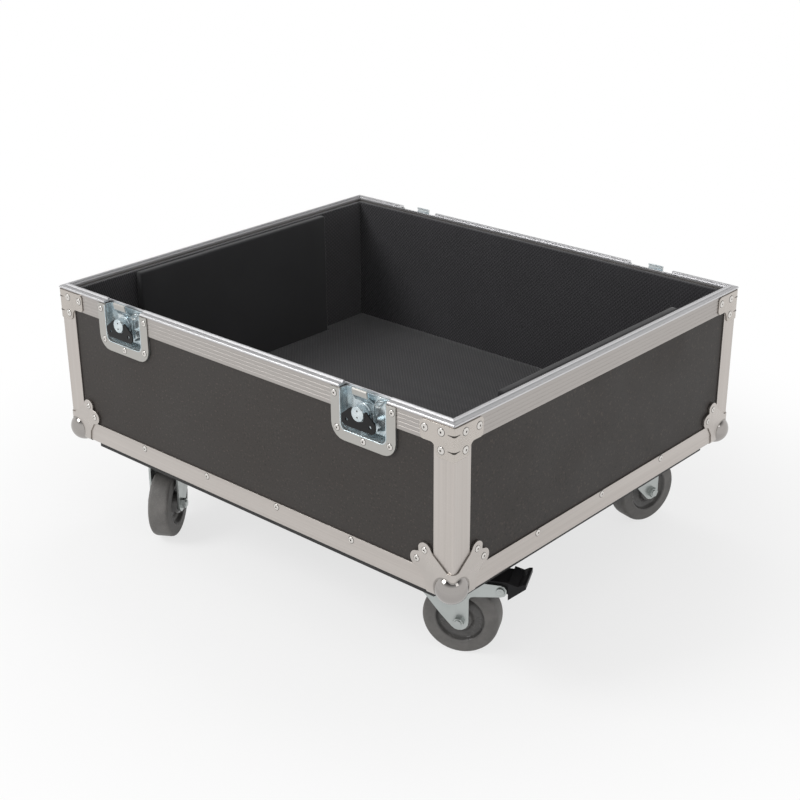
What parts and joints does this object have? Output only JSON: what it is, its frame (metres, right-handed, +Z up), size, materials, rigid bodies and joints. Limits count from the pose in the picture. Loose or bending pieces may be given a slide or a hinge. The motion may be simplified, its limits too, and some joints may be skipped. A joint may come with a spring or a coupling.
{
  "type": "speaker flight case base",
  "caption": "Open-topped flight case tray on swivel casters: laminate panels, aluminium edging, ball corners, recessed twist latches and a foam lining.",
  "frame": {"origin": "on the floor under the middle of the case", "axes": "+X to the right along the long front side, the front looks towards -Y, +Z up"},
  "size_m": [0.746, 0.6344, 0.3756],
  "materials": {
    "laminate": "matte laminate on plywood",
    "aluminium": "satin anodised",
    "plated_brace": "bright plated",
    "nickel_corner": "nickel, polished ball",
    "black_board": "matte black",
    "foam_lining": "embossed foam",
    "foam_pad": "smooth foam",
    "latch_zinc": "bright zinc",
    "latch_handle": "black, satin",
    "caster_zinc": "blue-white zinc",
    "grey_tyre": "matte grey",
    "brake_plastic": "black, matte"
  },
  "bodies": {
    "case": {"panel_front": "laminate", "panel_back": "laminate", "panel_left": "laminate", "panel_right": "laminate", "panel_floor": "laminate", "rim_front": "aluminium", "bottom_angle_front": "aluminium", "rim_back": "aluminium", "bottom_angle_back": "aluminium", "rim_left": "aluminium", "bottom_angle_left": "aluminium", "rim_right": "aluminium", "bottom_angle_right": "aluminium", "post_front_left": "aluminium", "brace_front_left": "plated_brace", "ball_corner_front_left": "nickel_corner", "post_front_right": "aluminium", "brace_front_right": "plated_brace", "ball_corner_front_right": "nickel_corner", "post_back_right": "aluminium", "brace_back_right": "plated_brace", "ball_corner_back_right": "nickel_corner", "post_back_left": "aluminium", "brace_back_left": "plated_brace", "ball_corner_back_left": "nickel_corner", "wheel_board": "black_board", "lining_walls": "foam_lining", "lining_floor": "foam_lining", "foam_pad_left": "foam_pad", "foam_pad_right": "foam_pad", "latch_dish_front_left": "latch_zinc", "latch_dish_front_right": "latch_zinc", "latch_dish_back_right": "latch_zinc", "latch_dish_back_left": "latch_zinc", "caster_plate_front_left": "caster_zinc", "caster_plate_front_right": "caster_zinc", "caster_plate_back_right": "caster_zinc", "caster_plate_back_left": "caster_zinc"},
    "swivel_front_left": {"fork_front_left": "caster_zinc"},
    "wheel_front_left": {"wheel_front_left": "grey_tyre"},
    "swivel_front_right": {"fork_front_right": "caster_zinc"},
    "wheel_front_right": {"wheel_front_right": "grey_tyre"},
    "brake_front_right": {"brake_pedal_front_right": "brake_plastic"},
    "swivel_back_right": {"fork_back_right": "caster_zinc"},
    "wheel_back_right": {"wheel_back_right": "grey_tyre"},
    "swivel_back_left": {"fork_back_left": "caster_zinc"},
    "wheel_back_left": {"wheel_back_left": "grey_tyre"},
    "brake_back_left": {"brake_pedal_back_left": "brake_plastic"},
    "latch_turn_front_left": {"latch_spindle_front_left": "latch_zinc"},
    "latch_draw_front_left": {"latch_hook_front_left": "latch_zinc"},
    "latch_wing_front_left": {"latch_handle_front_left": "latch_handle"},
    "latch_turn_front_right": {"latch_spindle_front_right": "latch_zinc"},
    "latch_draw_front_right": {"latch_hook_front_right": "latch_zinc"},
    "latch_wing_front_right": {"latch_handle_front_right": "latch_handle"},
    "latch_turn_back_right": {"latch_spindle_back_right": "latch_zinc"},
    "latch_draw_back_right": {"latch_hook_back_right": "latch_zinc"},
    "latch_wing_back_right": {"latch_handle_back_right": "latch_handle"},
    "latch_turn_back_left": {"latch_spindle_back_left": "latch_zinc"},
    "latch_draw_back_left": {"latch_hook_back_left": "latch_zinc"},
    "latch_wing_back_left": {"latch_handle_back_left": "latch_handle"}
  },
  "joints": [
    {"name": "swivel_front_left", "type": "hinge", "parent": "case", "child": "swivel_front_left", "pos_m": [-0.253, -0.215, 0.12], "axis": [0, 0, 1], "continuous": true},
    {"name": "wheel_spin_front_left", "type": "hinge", "parent": "swivel_front_left", "child": "wheel_front_left", "pos_m": [-0.23286, -0.24723, 0.05], "axis": [0.848, 0.5299, 0], "continuous": true},
    {"name": "swivel_front_right", "type": "hinge", "parent": "case", "child": "swivel_front_right", "pos_m": [0.253, -0.215, 0.12], "axis": [0, 0, 1], "continuous": true},
    {"name": "wheel_spin_front_right", "type": "hinge", "parent": "swivel_front_right", "child": "wheel_front_right", "pos_m": [0.28715, -0.19834, 0.05], "axis": [-0.4384, 0.8988, 0], "continuous": true},
    {"name": "brake_press_front_right", "type": "hinge", "parent": "swivel_front_right", "child": "brake_front_right", "pos_m": [0.33434, -0.17533, 0.1015], "axis": [-0.4384, 0.8988, 0], "range_deg": [0, 28]},
    {"name": "swivel_back_right", "type": "hinge", "parent": "case", "child": "swivel_back_right", "pos_m": [0.253, 0.215, 0.12], "axis": [0, 0, 1], "continuous": true},
    {"name": "wheel_spin_back_right", "type": "hinge", "parent": "swivel_back_right", "child": "wheel_back_right", "pos_m": [0.26219, 0.25187, 0.05], "axis": [-0.9703, 0.2419, 0], "continuous": true},
    {"name": "swivel_back_left", "type": "hinge", "parent": "case", "child": "swivel_back_left", "pos_m": [-0.253, 0.215, 0.12], "axis": [0, 0, 1], "continuous": true},
    {"name": "wheel_spin_back_left", "type": "hinge", "parent": "swivel_back_left", "child": "wheel_back_left", "pos_m": [-0.28715, 0.19834, 0.05], "axis": [0.4384, -0.8988, 0], "continuous": true},
    {"name": "brake_press_back_left", "type": "hinge", "parent": "swivel_back_left", "child": "brake_back_left", "pos_m": [-0.33434, 0.17533, 0.1015], "axis": [0.4384, -0.8988, 0], "range_deg": [0, 28]},
    {"name": "latch_turn_front_left", "type": "hinge", "parent": "case", "child": "latch_turn_front_left", "pos_m": [-0.2277, -0.308, 0.3453], "axis": [0, 1, 0], "range_deg": [0, 180]},
    {"name": "latch_draw_front_left", "type": "slide", "parent": "case", "child": "latch_draw_front_left", "axis": [0, 0, 1], "range_m": [0, 0.01]},
    {"name": "latch_fold_front_left", "type": "hinge", "parent": "latch_turn_front_left", "child": "latch_wing_front_left", "pos_m": [-0.2277, -0.311, 0.3453], "axis": [-1, 0, 0], "range_deg": [0, 90]},
    {"name": "latch_turn_front_right", "type": "hinge", "parent": "case", "child": "latch_turn_front_right", "pos_m": [0.2173, -0.308, 0.3453], "axis": [0, 1, 0], "range_deg": [0, 180]},
    {"name": "latch_draw_front_right", "type": "slide", "parent": "case", "child": "latch_draw_front_right", "axis": [0, 0, 1], "range_m": [0, 0.01]},
    {"name": "latch_fold_front_right", "type": "hinge", "parent": "latch_turn_front_right", "child": "latch_wing_front_right", "pos_m": [0.2173, -0.311, 0.3453], "axis": [-1, 0, 0], "range_deg": [0, 90]},
    {"name": "latch_turn_back_right", "type": "hinge", "parent": "case", "child": "latch_turn_back_right", "pos_m": [0.2277, 0.308, 0.3453], "axis": [0, -1, 0], "range_deg": [0, 180]},
    {"name": "latch_draw_back_right", "type": "slide", "parent": "case", "child": "latch_draw_back_right", "axis": [0, 0, 1], "range_m": [0, 0.01]},
    {"name": "latch_fold_back_right", "type": "hinge", "parent": "latch_turn_back_right", "child": "latch_wing_back_right", "pos_m": [0.2277, 0.311, 0.3453], "axis": [1, 0, 0], "range_deg": [0, 90]},
    {"name": "latch_turn_back_left", "type": "hinge", "parent": "case", "child": "latch_turn_back_left", "pos_m": [-0.2173, 0.308, 0.3453], "axis": [0, -1, 0], "range_deg": [0, 180]},
    {"name": "latch_draw_back_left", "type": "slide", "parent": "case", "child": "latch_draw_back_left", "axis": [0, 0, 1], "range_m": [0, 0.01]},
    {"name": "latch_fold_back_left", "type": "hinge", "parent": "latch_turn_back_left", "child": "latch_wing_back_left", "pos_m": [-0.2173, 0.311, 0.3453], "axis": [1, 0, 0], "range_deg": [0, 90]}
  ],
  "couplings": [
    {"joint": "latch_draw_front_left", "follows": "latch_turn_front_left", "m_per_rad": 0.00318},
    {"joint": "latch_draw_front_right", "follows": "latch_turn_front_right", "m_per_rad": 0.00318},
    {"joint": "latch_draw_back_right", "follows": "latch_turn_back_right", "m_per_rad": 0.00318},
    {"joint": "latch_draw_back_left", "follows": "latch_turn_back_left", "m_per_rad": 0.00318}
  ]
}
